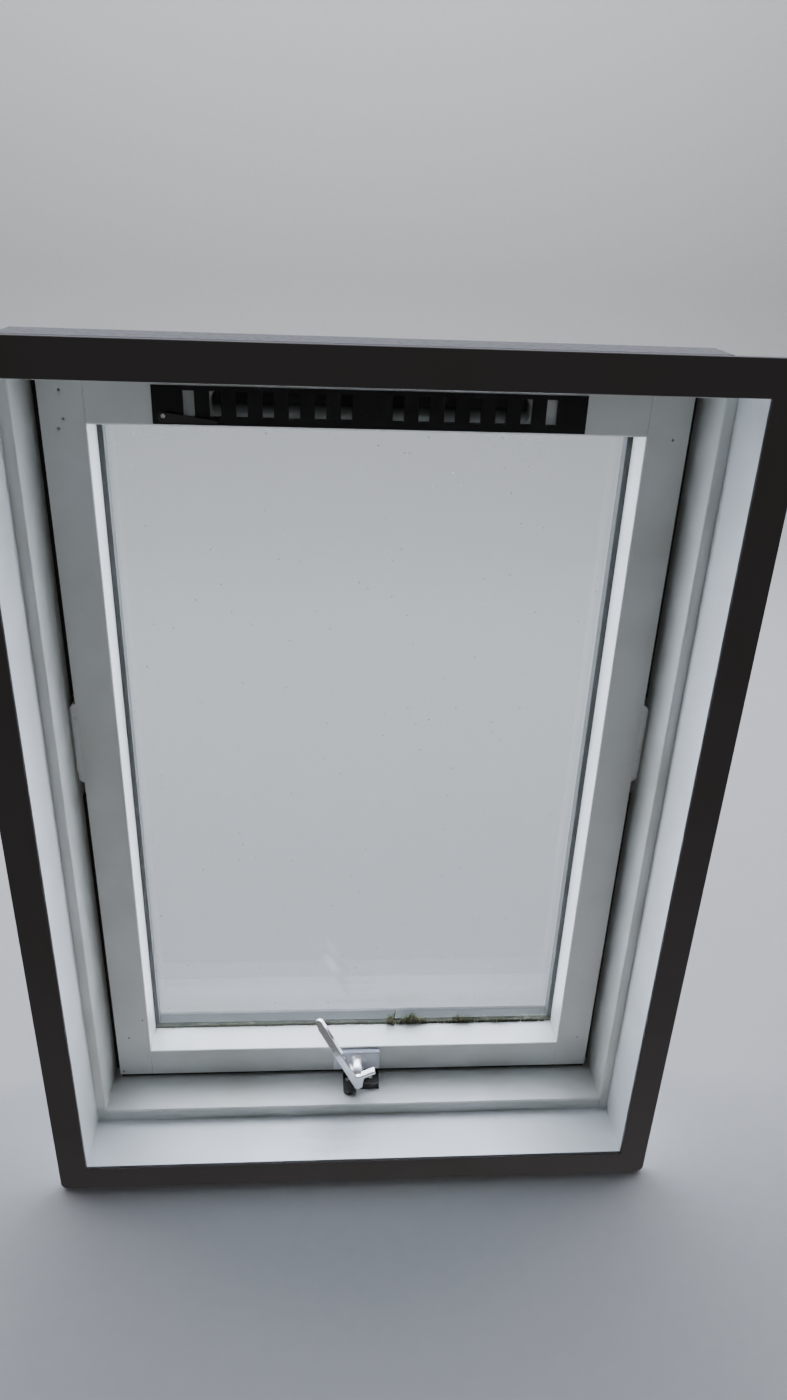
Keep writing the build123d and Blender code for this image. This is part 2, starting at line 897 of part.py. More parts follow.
def hood():
    """The rain hood over the frame's head, with closed ends."""
    low_y = fixed_cover_inner + cover_sheet + hood_clearance
    high_y = low_y + hood_step
    low_z = frame_top - hood_overlap - hood_nose
    path = [
        (low_y, low_z),
        (low_y, low_z + hood_overlap - hood_rise),
        (high_y, low_z + hood_overlap),
        (high_y, frame_top),
        (high_y - hood_return, frame_top),
    ]
    half = flank_outer + cover_sheet + hood_side_gap
    outline = folded(path, -flashing_sheet)
    shell = bar_along_x(outline, half)
    cap_outline = outline[len(path):] + [(high_y - hood_return, low_z)]
    for side in (-1, 1):
        x = half if side > 0 else -half - flashing_sheet
        section = Plane.YZ.offset(x) * make_face(Polyline(*cap_outline, close=True))
        shell = shell + extrude(section, amount=flashing_sheet)
    return shell


def frame_seal():
    """Rubber strips on the jambs and the head that close the gap round the sash."""
    y = (seal_start, seal_start + seal_depth)
    swing = hypot(pivot_depth - sash_face, hinge_length / 2)
    lower_end = pivot_height - swing
    upper_start = pivot_height + hinge_length / 2 + seal_end_gap
    strips = []
    for side in (-1, 1):
        x = sorted((side * (sash_half + seal_clearance), side * jamb_face))
        strips.append(block(x, y, (sill_face, lower_end)))
        strips.append(block(x, y, (upper_start, head_face)))
    across = (-sash_half, sash_half)
    strips.append(block(across, y, (sash_top + seal_clearance, head_face)))
    return Compound(strips)


def bottom_seal():
    """Two rubber strips under the bottom rail: a low one in front and a high one behind."""
    half = sash_half - bottom_seal_side_gap
    front = sash_face + front_strip_inset
    front_strip = block(
        (-half, half),
        (front, front + front_strip_depth),
        (sash_bottom - front_strip_height, sash_bottom),
    )
    back_strip = block(
        (-half, half),
        (frame_outer_depth - seal_depth, frame_outer_depth),
        (sash_bottom - bottom_seal_height, sash_bottom),
    )
    return Compound([front_strip, back_strip])


def slot_row(y, height):
    """Upright slots side by side, with a blank place in the middle."""
    z = (slot_middle - height / 2, slot_middle + height / 2)
    return [block((x - slot_width / 2, x + slot_width / 2), y, z) for x in slot_places]


def tab_middle():
    """The middle of the round end of the vent's finger tab: across and up."""
    x = -grille_width / 2 + tab_inset + tab_radius
    z = grille_middle - grille_height / 2 + tab_radius + tab_edge
    return x, z


def stem_heights():
    """The low and high limits of the stem that joins the tab to the shutter."""
    low = slot_middle - shutter_height / 2 + tab_stem_rise
    return low, low + tab_stem_height


def vent_grille():
    """The black slotted plate, with ribs behind it that guide the shutter."""
    front = sash_face - grille_proud
    half = grille_width / 2
    plate = block(
        (-half, half),
        (front, grille_back),
        (grille_middle - grille_height / 2, grille_middle + grille_height / 2),
    )
    for slot in slot_row((front - cut_past, grille_back + cut_past), slot_height):
        plate = plate - slot
    blank = block(
        (-blank_width / 2, blank_width / 2),
        (front - cut_past, front + blank_depth),
        (slot_middle - blank_height / 2, slot_middle + blank_height / 2),
    )
    plate = plate - blank
    rib_half = tray_half - rib_end_gap
    for end in (-1, 1):
        edge = slot_middle + end * (shutter_height / 2 + shutter_play)
        z = sorted((edge, edge + end * rib_height))
        rib = block((-rib_half, rib_half), (grille_back, rib_back), z)
        lip_z = sorted((edge, edge - end * rib_lip))
        lip = block((-rib_half, rib_half), (rib_back - rib_wall, rib_back), lip_z)
        plate = plate + rib + lip
    x = tab_middle()[0]
    low, high = stem_heights()
    slit = block(
        (x - tab_stem_width / 2 - shutter_play, x + tab_stem_width / 2 + vent_travel + shutter_play),
        (front - cut_past, grille_back + cut_past),
        (low - shutter_play, high + shutter_play),
    )
    return plate - slit


def vent_shutter():
    """The sliding plate behind the grille: its finger tab comes out through a slit."""
    x, z = tab_middle()
    low = x - shutter_overhang
    high = slot_places[-1] + slot_width / 2 + shutter_lap
    plate = block(
        (low, high),
        (shutter_front, shutter_back),
        (slot_middle - shutter_height / 2, slot_middle + shutter_height / 2),
    )
    y = (shutter_front - cut_past, shutter_back + cut_past)
    for slot in slot_row(y, slot_height - shutter_slot_step):
        plate = plate - slot
    tab_back = sash_face - grille_proud - tab_face_gap
    stem = block(
        (x - tab_stem_width / 2, x + tab_stem_width / 2),
        (tab_back, shutter_back),
        stem_heights(),
    )
    tip_x = x + tab_length - tab_radius - tab_tip_radius
    tip_z = z - tab_radius + tab_tip_radius
    outline = make_hull([
        *(Pos(x, z) * Circle(tab_radius)).edges(),
        *(Pos(tip_x, tip_z) * Circle(tab_tip_radius)).edges(),
    ])
    tab = extrude(plane_facing_room(tab_back) * outline, amount=tab_thickness)
    return plate + stem + tab


def vent_filter():
    """The foam insect filter that fills the back of the vent's channel."""
    back_part = block(
        (-channel_half, channel_half),
        (filter_front + filter_play, channel_floor),
        (channel_low, channel_high),
    )
    return vent_channel(filter_play) & back_part


def handle_base():
    """The steel plate that is screwed to the rail and carries the spindle."""
    half_width = handle_base_width / 2
    half_height = handle_base_height / 2
    plate = block(
        (-half_width, half_width),
        (base_front, sash_face),
        (hub_height - half_height, hub_height + half_height),
    )
    bore = spindle_radius + spindle_play
    plate = plate - pin_along_y(0, hub_height, bore, base_front - cut_past, sash_face + cut_past)
    return countersunk(plate, handle_screw_places)


def handle_cover():
    """The silver cap over the base plate, hollow behind."""
    half_width = handle_cover_width / 2
    half_height = handle_cover_height / 2
    cap = block(
        (-half_width, half_width),
        (cover_front, sash_face),
        (hub_height - half_height, hub_height + half_height),
    )
    front_edges = cap.faces().sort_by(Axis.Y)[0].edges()
    corner_edges = cap.edges().filter_by(Axis.Y)
    cap = fillet(front_edges + corner_edges, handle_cover_radius)
    wall = handle_cover_wall
    hollow = block(
        (-half_width + wall, half_width - wall),
        (cover_front + wall, sash_face + cut_past),
        (hub_height - half_height + wall, hub_height + half_height - wall),
    )
    bore = pin_along_y(0, hub_height, stem_radius + stem_play, cover_front - cut_past, sash_face)
    return cap - hollow - bore


def handle_stem():
    """The turned stem and spindle: a flared foot on the cover, a plain barrel and a shoulder."""
    base = base_front - clip_play
    flange_back = cover_front - flange_gap
    flange_front = flange_back - flange_edge
    barrel_start = flange_front - flange_flare
    barrel_end = lever_back + stem_shoulder
    with BuildLine() as side:
        Polyline(
            (0, spindle_end), (spindle_radius, spindle_end), (spindle_radius, base),
            (stem_radius, base), (stem_radius, flange_back), (flange_radius, flange_back),
            (flange_radius, flange_front))
        TangentArc((stem_radius, barrel_start), (flange_radius, flange_front), tangent=(0, 1))
        Line((stem_radius, barrel_start), (stem_radius, barrel_end))
        TangentArc((stem_radius, barrel_end), (stem_neck_radius, lever_back), tangent=(0, -1))
        Polyline((stem_neck_radius, lever_back), (0, lever_back), (0, spindle_end))
    profile = make_face(side.line)
    return Pos(0, 0, hub_height) * revolve(profile, Axis.Y)


def handle_clip():
    """The ring on the spindle behind the base plate that keeps the handle in."""
    low = sash_face + clip_play
    outer = pin_along_y(0, hub_height, clip_radius, low, low + clip_thickness)
    return outer - pin_along_y(
        0, hub_height, spindle_radius, low - cut_past, low + clip_thickness + cut_past)


def turned(point, degrees):
    """A point turned about the origin, positive from the first axis to the second."""
    x, y = point
    c, s = cos(radians(degrees)), sin(radians(degrees))
    return (x * c - y * s, x * s + y * c)


def meeting(across_lever, across_tongue):
    """Where a long edge of the lever meets a long edge of the tongue."""
    spread = radians(lever_lean + tongue_angle)
    up_lever = (across_lever * cos(spread) - across_tongue) / sin(spread)
    return turned((across_lever, up_lever), lever_lean)


def handle_lever():
    """The chrome lever and its short locking tongue, in one flat casting."""
    left = -lever_offset - lever_width / 2
    right = -lever_offset + lever_width / 2
    low = tongue_offset + tongue_width / 2
    high = tongue_offset - tongue_width / 2
    crook = meeting(right, high)
    foot = [turned((x, -lever_foot), lever_lean) for x in (left, right)]
    end = [turned((x, lever_reach), lever_lean) for x in (left, right)]
    web = turned((low, tongue_web), -tongue_angle)
    tongue_end = [turned((x, tongue_reach), -tongue_angle) for x in (low, high)]
    flat = make_face(Polyline(
        foot[1], web, *tongue_end, crook, end[1], end[0], foot[0], close=True))

    def corner(point):
        """The outline's corner nearest to a point."""
        return flat.vertices().sort_by(lambda v: hypot(v.X - point[0], v.Y - point[1]))[0]

    end_radius = (lever_width - lever_end_flat) / 2
    flat = fillet(corner(crook), crook_radius)
    flat = fillet(corner(web), web_radius)
    flat = fillet([corner(p) for p in foot], end_radius)
    flat = fillet([corner(p) for p in end], end_radius)
    flat = fillet([corner(p) for p in tongue_end], tongue_edge)
    plane = plane_facing_room(lever_back) * Pos(0, hub_height)
    solid = extrude(plane * flat, amount=lever_thickness)
    solid = fillet(solid.faces().sort_by(Axis.Y)[0].edges(), lever_edge)
    return solid - lever_end_facet()


def lever_end_facet():
    """What is cut off the lever's end: a plane that slopes back towards the end's outer corner."""
    slope = lever_end_slant / lever_thickness
    far = lever_end_slant + cut_past * slope
    profile = [
        (lever_face - cut_past, -cut_past * slope),
        (lever_back + cut_past, far),
        (lever_face - cut_past, far),
    ]
    x, z = turned((-lever_offset, lever_reach - lever_end_cut), lever_lean)
    turn = Rot(0, -lever_lean - lever_end_turn, 0)
    return Pos(x, 0, hub_height + z) * turn * bar_along_x(profile, 2 * lever_width)


def keeper_screw_places():
    """Two upright screws that hold the keeper to the sill."""
    y = sash_face - (keeper_back + right_jaw_front) / 2
    xs = (-(keeper_left + keeper_slot_left) / 2, (keeper_right + keeper_slot_right) / 2)
    heights = (left_jaw_height, right_jaw_height)
    return [
        Pos(x, y, sill_face + height - screw_head_height - keeper_screw_sink)
        for x, height in zip(xs, heights)
    ]


def sill_keeper():
    """The black keeper on the sill: two jaws with a gap for the lever's foot."""
    back = sash_face - keeper_back
    right_front = sash_face - right_jaw_front
    left_front = sash_face - left_jaw_front
    plate = block(
        (-keeper_left, keeper_right), (right_front, back), (sill_face, sill_face + keeper_plate))
    left_z = (sill_face, sill_face + left_jaw_height)
    nose = block(
        (-keeper_left, keeper_nose_width - keeper_left),
        (left_front, left_front + keeper_nose_depth),
        left_z,
    )
    nose = fillet(nose.edges().filter_by(Axis.Z).group_by(Axis.Y)[0], keeper_nose_radius)
    left = block((-keeper_left, -keeper_slot_left), (left_front + keeper_nose_radius, back), left_z)
    left = fillet(left.edges().filter_by(Axis.Z).group_by(Axis.Y)[-1], jaw_radius)
    right = block(
        (keeper_slot_right, keeper_right),
        (right_front, back),
        (sill_face, sill_face + right_jaw_height),
    )
    right = fillet(right.edges().filter_by(Axis.Z), jaw_radius)
    keeper = plate + nose + left + right
    return countersunk(keeper, keeper_screw_places())


def screws(places):
    """A group of like screws."""
    return Compound([place * screw() for place in places])


nodes = {
    "frame_head": frame_head(),
    "frame_sill": frame_sill(),
    "frame_jamb_left": frame_jamb(-1),
    "frame_jamb_right": frame_jamb(1),
    "frame_seal": frame_seal(),
    "lining_left": lining_side(-1),
    "lining_right": lining_side(1),
    "lining_head": lining_cross(lining_top, lining_top + lining_thickness),
    "lining_sill": lining_cross(lining_bottom, lining_bottom - lining_thickness),
    **trim_strips(),
    "rain_hood": hood(),
    "upper_cover_left": frame_upper_cover(-1),
    "upper_cover_right": frame_upper_cover(1),
    "flank_cover_left": flank_cover(-1),
    "flank_cover_right": flank_cover(1),
    "sill_cover": sill_cover(),
    "bracket_top_left": roof_bracket(-1, 1),
    "bracket_top_right": roof_bracket(1, 1),
    "bracket_bottom_left": roof_bracket(-1, -1),
    "bracket_bottom_right": roof_bracket(1, -1),
    "bracket_screws": screws(bracket_screw_places),
    "hinge_seat_left": hinge_seat(-1),
    "hinge_seat_right": hinge_seat(1),
    "hinge_seat_screws": screws(seat_screw_places),
    "hinge_washer_left": hinge_washer(-1),
    "hinge_washer_right": hinge_washer(1),
    "sill_keeper": sill_keeper(),
    "keeper_screws": screws(keeper_screw_places()),
    "sash_stile_left": sash_stile(-1),
    "sash_stile_right": sash_stile(1),
    "sash_top_rail": sash_top_rail(),
    "sash_bottom_rail": sash_bottom_rail(),
    "inner_pane": glass_pane(glass_inner),
    "outer_pane": glass_pane(cavity_outer),
    "spacer_bar": spacer_bar(),
    "edge_seal": edge_seal(),
    "inner_gasket": glazing_gasket((glass_seat_depth, glass_inner)),
    "outer_gasket": glazing_gasket((glass_outer, cover_inner)),
    "setting_blocks": setting_blocks(),
    "side_cover_left": side_cover(-1),
    "side_cover_right": side_cover(1),
    "top_cover": top_cover(),
    "bottom_cover": bottom_cover(),
    "bottom_seal": bottom_seal(),
    "hinge_plate_left": hinge_plate(-1),
    "hinge_plate_right": hinge_plate(1),
    "hinge_plate_screws": screws(sash_hinge_screw_places),
    "vent_grille": vent_grille(),
    "vent_filter": vent_filter(),
    "vent_shutter": vent_shutter(),
    "handle_base": handle_base(),
    "handle_base_screws": screws(handle_screw_places),
    "handle_cover": handle_cover(),
    "handle_stem": handle_stem(),
    "handle_clip": handle_clip(),
    "handle_lever": handle_lever(),
}

os.makedirs("parts", exist_ok=True)
for name, shape in nodes.items():
    export_step(shape, f"parts/{name}.step")
print(len(nodes), "nodes")
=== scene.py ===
# %% [markdown]
# # A roof window, dressed in Blender
# The window is already built as solids at their real size: timbers, glass, hinges, lever.
# This lesson gives every surface its finish and adds what is too fine or too soft for solids,
# such as moss and dust. Lengths are in metres. X is right seen from the room, Y points
# outdoors and Z runs up the roof.

# %% Load the solids
import math
import bmesh
import bpy
import numpy as np
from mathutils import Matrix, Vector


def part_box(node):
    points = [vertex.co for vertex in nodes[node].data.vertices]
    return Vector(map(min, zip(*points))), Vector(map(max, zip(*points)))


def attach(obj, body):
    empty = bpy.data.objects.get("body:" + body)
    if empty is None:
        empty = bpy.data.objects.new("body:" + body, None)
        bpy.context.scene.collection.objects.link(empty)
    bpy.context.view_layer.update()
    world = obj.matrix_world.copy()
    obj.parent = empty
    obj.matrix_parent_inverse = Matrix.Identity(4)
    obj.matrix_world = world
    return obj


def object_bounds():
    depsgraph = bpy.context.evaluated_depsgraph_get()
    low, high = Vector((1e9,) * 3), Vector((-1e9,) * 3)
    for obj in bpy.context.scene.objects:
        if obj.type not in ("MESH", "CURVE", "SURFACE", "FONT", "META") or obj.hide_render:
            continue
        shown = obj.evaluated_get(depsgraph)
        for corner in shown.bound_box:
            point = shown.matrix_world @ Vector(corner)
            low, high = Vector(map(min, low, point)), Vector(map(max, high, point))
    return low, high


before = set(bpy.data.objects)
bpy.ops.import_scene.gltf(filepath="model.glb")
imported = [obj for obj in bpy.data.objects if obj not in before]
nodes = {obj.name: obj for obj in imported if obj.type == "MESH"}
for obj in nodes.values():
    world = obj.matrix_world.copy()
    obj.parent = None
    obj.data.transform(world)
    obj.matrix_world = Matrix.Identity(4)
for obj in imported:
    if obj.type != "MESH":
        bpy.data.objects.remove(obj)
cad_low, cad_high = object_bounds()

scene = bpy.context.scene
print(len(nodes), "solids, overall", [round(b - a, 3) for a, b in zip(cad_low, cad_high)])

# %% [markdown]
# ## Camera
# The picture was taken inside the room, from a little above the middle of the window and
# looking down at it. Three turns and a place are enough to repeat that view. The lens follows
# from how large the window is in the picture: a short phone lens, here on a 36 mm sensor.

# %% Camera
camera_place = (-0.0500, -1.0785, 0.6607)
camera_turns = (63.61, -2.018, -3.549)
camera_lens = 24.94
sensor_width = 36.0

camera_data = bpy.data.cameras.new("photo_camera")
camera_data.lens = camera_lens
camera_data.sensor_width = sensor_width
camera = bpy.data.objects.new("photo_camera", camera_data)
scene.collection.objects.link(camera)
camera.location = camera_place
camera.rotation_euler = [math.radians(turn) for turn in camera_turns]
scene.camera = camera
print("camera at", camera_place)

# %% [markdown]
# ## Colours and nodes
# Colours are written as hex values, as a paint chart or a picture editor gives them. Blender
# computes with light, so one function turns them into linear values. Another adds a shader
# node with its settings and its links. Most finishes need the same thing next, patches of some
# real size, so that is a function too.

# %% Helpers for materials
def linear(hex_colour):
    """Linear red, green, blue and alpha of an sRGB hex colour."""
    channels = [int(hex_colour[i:i + 2], 16) / 255 for i in (1, 3, 5)]
    return [c / 12.92 if c <= 0.04045 else ((c + 0.055) / 1.055) ** 2.4 for c in channels] + [1.0]


def put(tree, socket, value):
    """Gives a socket a plain value, an output, or the first open output of a node."""
    if isinstance(value, bpy.types.Node):
        value = next(output for output in value.outputs if output.enabled)
    if isinstance(value, bpy.types.NodeSocket):
        tree.links.new(value, socket)
    else:
        socket.default_value = value


def add(tree, kind, inputs=None, **settings):
    """A new node: settings are its own choices, and inputs maps its sockets to what put() takes."""
    made = tree.nodes.new(kind)
    for name, value in settings.items():
        setattr(made, name, value)
    for socket, value in (inputs or {}).items():
        put(tree, made.inputs[socket], value)
    return made


def dress(surface, **sockets):
    """Sets or links the shader's sockets, with their names' spaces written as underscores."""
    for name, value in sockets.items():
        put(surface.id_data, surface.inputs[name.replace("_", " ")], value)


def new_material(name, **sockets):
    """A material with its shader's plain values set: its tree, its shader and itself."""
    made = bpy.data.materials.new(name)
    made.use_nodes = True
    surface = made.node_tree.nodes["Principled BSDF"]
    dress(surface, **sockets)
    return made.node_tree, surface, made


def place_on_piece(tree, size, centre=(0, 0, 0)):
    """The place on the piece from a centre, counted in a size in metres, or in one size per axis."""
    sizes = np.broadcast_to(size, 3)
    where = add(tree, "ShaderNodeTexCoord").outputs["Object"]
    shift = [-c / s for c, s in zip(centre, sizes)]
    return add(tree, "ShaderNodeMapping", {"Vector": where, "Scale": 1 / sizes, "Location": shift})


def mottle(tree, size, low, high, detail=3.0):
    """Random patches of a size in metres: 0 where the noise is under low and 1 over high."""
    where = place_on_piece(tree, size)
    value = add(tree, "ShaderNodeTexNoise", {"Vector": where, "Scale": 1.0, "Detail": detail})
    return add(tree, "ShaderNodeMapRange", {0: value, 1: low, 2: high})


def give(material, *names):
    """Gives a finish to solids by name."""
    for name in names:
        mesh = nodes[name].data
        mesh.materials.clear()
        mesh.materials.append(material)


millimetre = 0.001

# %% [markdown]
# ## White paint on pine
# The frame and the sash are softwood with a brushed satin paint. From a step away it is
# nearly plain, so the finish needs little things: brush strokes along each timber, a faint
# yellowing in patches, and a shine that changes with the strokes. The strokes are a noise that
# is stretched along the timber, so the same recipe serves uprights and cross pieces. The top
# rail has a channel for air behind the grille. There its paint gets a dark veil of painted
# shade, deeper with depth, that starts behind the grille and stands for the channel's shadow.

# %% Painted timber
stroke_width = 2.5 * millimetre      # real bristle marks are finer, and would not show
stroke_length = 70 * millimetre
patch_size = 120 * millimetre
unshaded_depth, full_shade_depth = -6, 13     # Y in millimetres, where the channel's painted shade starts and is full
shade_foot, shade_roof = 2, 1          # millimetres over the grille's foot and top, the painted shade's ends
shade_fade = 1                        # millimetres


def painted_timber(name, along):
    """Satin paint: strokes along one axis, 0 for X and 2 for Z, in height, shine and colour."""
    tree, surface, made = new_material(name, IOR=1.48)
    size = [stroke_width] * 3
    size[along] = stroke_length
    strokes = mottle(tree, size, 0.3, 0.7, 2.0)
    aged = mottle(tree, patch_size, 0.40, 0.68, 4.0)
    colour = add(tree, "ShaderNodeMix", {
        0: aged, 6: linear("#E3E5E3"), 7: linear("#D6D7D2")}, data_type="RGBA")
    shine = add(tree, "ShaderNodeMapRange", {0: strokes, 3: 0.34, 4: 0.46})
    relief = add(tree, "ShaderNodeBump", {"Height": strokes, "Distance": 0.03 * millimetre, "Strength": 0.5})
    dress(surface, Base_Color=colour, Roughness=shine, Normal=relief)
    return made


def shade_the_channel(paint):
    """Paints shade into the rail's paint inside the channel, from none behind the grille to dark at the
    filter.
    """
    tree, surface = paint.node_tree, paint.node_tree.nodes["Principled BSDF"]
    clean_unshaded = surface.inputs["Base Color"].links[0].from_socket
    foot, roof = (corner.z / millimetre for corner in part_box("vent_grille"))
    place = add(tree, "ShaderNodeSeparateXYZ", {0: place_on_piece(tree, millimetre)}).outputs
    # painted shade: the paint grows darker with depth inside the channel, where its shadow falls
    deep = add(tree, "ShaderNodeMapRange", {0: place[1], 1: unshaded_depth, 2: full_shade_depth})
    over = add(tree, "ShaderNodeMapRange", {
        0: place[2], 1: foot + shade_foot, 2: foot + shade_foot + shade_fade})
    under = add(tree, "ShaderNodeMapRange", {
        0: place[2], 1: roof + shade_roof, 2: roof + shade_roof + shade_fade, 3: 1.0, 4: 0.0})
    inside = add(tree, "ShaderNodeMath", {0: over, 1: under}, operation="MULTIPLY")
    channel_shade = add(tree, "ShaderNodeMath", {0: inside, 1: deep}, operation="MULTIPLY")
    colour = add(tree, "ShaderNodeMix", {0: channel_shade, 6: clean_unshaded, 7: linear("#262726")}, data_type="RGBA")
    dress(surface, Base_Color=colour)
    return paint


upright_paint = painted_timber("satin_paint_upright", 2)
cross_paint = painted_timber("satin_paint_across", 0)
give(upright_paint, "frame_jamb_left", "frame_jamb_right", "sash_stile_left", "sash_stile_right")
give(cross_paint, "frame_head", "frame_sill", "sash_bottom_rail")
give(shade_the_channel(painted_timber("satin_paint_vent_rail", 0)), "sash_top_rail")
print("painted timber on eight timbers")

# %% [markdown]
# ## Lining boards and trim
# The reveal is lined with boards that were rolled, not brushed: the paint dries to tiny round
# dimples. The trim round it has the same dimples, and its dark grey is painted shade: it faces
# the dim room. On the lower board, under the handle, lies a soft grey patch. It could be painted
# on an image by hand, but a soft blob of noise that is masked to its place needs no image and
# is there at any distance.

# %% Lining and trim
dimple_size = 2.2 * millimetre       # a short-pile roller leaves about one millimetre
grey_patch_place = (-0.030, -0.105, -0.514)   # on the lower board, under the handle
grey_patch_size = 45 * millimetre


def rolled_paint(name, clean_unshaded, aged, roughness):
    """Roller paint: round dimples in height and a slow change of colour."""
    tree, surface, made = new_material(name, IOR=1.48, Roughness=roughness)
    dimples = mottle(tree, dimple_size, 0.2, 0.8, 1.0)
    patches = mottle(tree, patch_size, 0.42, 0.66)
    colour = add(tree, "ShaderNodeMix", {0: patches, 6: linear(clean_unshaded), 7: linear(aged)}, data_type="RGBA")
    relief = add(tree, "ShaderNodeBump", {"Height": dimples, "Distance": 0.03 * millimetre, "Strength": 0.5})
    dress(surface, Base_Color=colour, Normal=relief)
    return tree, surface, made, colour


lining_paint = rolled_paint("satin_paint_board", "#E6E9EA", "#DCDFDF", 0.38)[2]
tree, surface, sill_paint, colour = rolled_paint("satin_paint_sill_board", "#E6E9EA", "#DCDFDF", 0.38)
# a soft grey patch on the lower board under the handle, greyest at its middle
blob = place_on_piece(tree, grey_patch_size, grey_patch_place)
distance = add(tree, "ShaderNodeVectorMath", {0: blob}, operation="LENGTH").outputs["Value"]
ragged = add(tree, "ShaderNodeMath", {0: distance, 1: mottle(tree, (0.033, 0.011, 0.033), 0.2, 0.8)})
grey_patch = add(tree, "ShaderNodeMapRange", {0: ragged, 1: 0.3, 2: 1.6, 3: 0.35, 4: 0.0})
with_grey_patch = add(tree, "ShaderNodeMix", {0: grey_patch, 6: colour, 7: linear("#7C8183")}, data_type="RGBA")
dress(surface, Base_Color=with_grey_patch)
# painted shade: the trim's dark grey stands in for the shade it lies in
shade_dark_trim = rolled_paint("dark_trim_paint", "#595556", "#53504F", 0.5)[2]
give(lining_paint, "lining_left", "lining_right", "lining_head")
give(sill_paint, "lining_sill")
give(shade_dark_trim, "trim_head", "trim_sill", "trim_left", "trim_right")
print("rolled paint on the reveal")

# %% [markdown]
# ## Sheet metal and plated steel
# The covers are thin aluminium sheet with a baked grey coat: matt, with a very fine orange
# peel, and a film of dust that rain has left in streaks down the slope. Brackets, screws and
# the plate under the handle are zinc plated: metallic, dull, with a cloudy bloom. Zinc grows in
# crystals, so its greys come from cells, where soft noise would look like dirt. The plates of
# the hinges have a white powder coat, which dries to fine grains and wears in small spots.

# %% Coated and plated metal
peel_size = 1.5 * millimetre
streak_width = 9 * millimetre
streak_length = 260 * millimetre


def coated_sheet():
    """Baked coat on aluminium: fine orange peel, and pale dust in streaks down the slope."""
    tree, surface, made = new_material("coated_aluminium", IOR=1.5)
    peel = mottle(tree, peel_size, 0.2, 0.8, 1.0)
    dust = mottle(tree, (streak_width, streak_width, streak_length), 0.45, 0.8, 4.0)
    colour = add(tree, "ShaderNodeMix", {
        0: dust, 6: linear("#55585A"), 7: linear("#6B6C6A")}, data_type="RGBA")
    shine = add(tree, "ShaderNodeMapRange", {0: dust, 3: 0.42, 4: 0.75})
    relief = add(tree, "ShaderNodeBump", {"Height": peel, "Distance": 0.02 * millimetre, "Strength": 0.5})
    dress(surface, Base_Color=colour, Roughness=shine, Normal=relief)
    return made


def plated_steel():
    """Zinc plate: metal in two greys, cloudy, with crystals a few millimetres wide."""
    tree, surface, made = new_material("zinc_plated_steel", Metallic=1.0)
    where = place_on_piece(tree, 6 * millimetre)
    crystals = add(tree, "ShaderNodeTexVoronoi", {"Vector": where, "Scale": 1.0}).outputs["Color"]
    grey = add(tree, "ShaderNodeSeparateColor", {0: crystals})
    colour = add(tree, "ShaderNodeMix", {
        0: grey, 6: linear("#B4B5B2"), 7: linear("#C9CAC8")}, data_type="RGBA")
    shine = add(tree, "ShaderNodeMapRange", {0: grey, 3: 0.38, 4: 0.52})
    dress(surface, Base_Color=colour, Roughness=shine)
    return made


def powder_coat():
    """White powder coat on the hinge plates: a slightly rough, even skin."""
    tree, surface, made = new_material("white_powder_coat", IOR=1.5, Roughness=0.42)
    grains = mottle(tree, 1.2 * millimetre, 0.2, 0.8, 1.0)
    worn = mottle(tree, 14 * millimetre, 0.6, 0.75, 5.0)
    colour = add(tree, "ShaderNodeMix", {
        0: worn, 6: linear("#E4E6E6"), 7: linear("#C4C6C4")}, data_type="RGBA")
    relief = add(tree, "ShaderNodeBump", {"Height": grains, "Distance": 0.03 * millimetre, "Strength": 0.5})
    dress(surface, Base_Color=colour, Normal=relief)
    return made


give(coated_sheet(), "rain_hood", "upper_cover_left", "upper_cover_right", "flank_cover_left",
     "flank_cover_right", "sill_cover", "side_cover_left", "side_cover_right", "top_cover",
     "bottom_cover")
give(plated_steel(), "bracket_top_left", "bracket_top_right", "bracket_bottom_left",
     "bracket_bottom_right", "bracket_screws", "hinge_seat_screws", "hinge_plate_screws",
     "keeper_screws", "handle_base", "handle_base_screws", "handle_clip")
give(powder_coat(), "hinge_plate_left", "hinge_plate_right", "hinge_seat_left", "hinge_seat_right")
print("metal dressed")

# %% [markdown]
# ## Glass
# Sheet glass is clear, so what shows is the light it reflects and what lies on it. Real
# refraction would stop the daylight that has to reach the reveal, so the pane lets light
# straight through and adds a mirror on top. The mirror's strength is the Fresnel law. Only the
# face that the light enters gets it, because the other face would act as total reflection.
# Dust is a thin film: a few specks, and dirt along the bottom edge. On the inner pane it is
# green algae that live on condensed water, on the outer one brown grime. A film lets some of
# the daylight behind it through, so it is part diffuse and part translucent.

# %% Glass
both_faces = 1.8                      # one face stands for the mirror of both
speck_spacing = 26 * millimetre
speck_size = 0.035                    # as a share of the spacing
glow_share = 0.35                     # how much of the dirt film is translucent
algae_from = 60 * millimetre          # right of here the algae are thick
algae_fade = 40 * millimetre


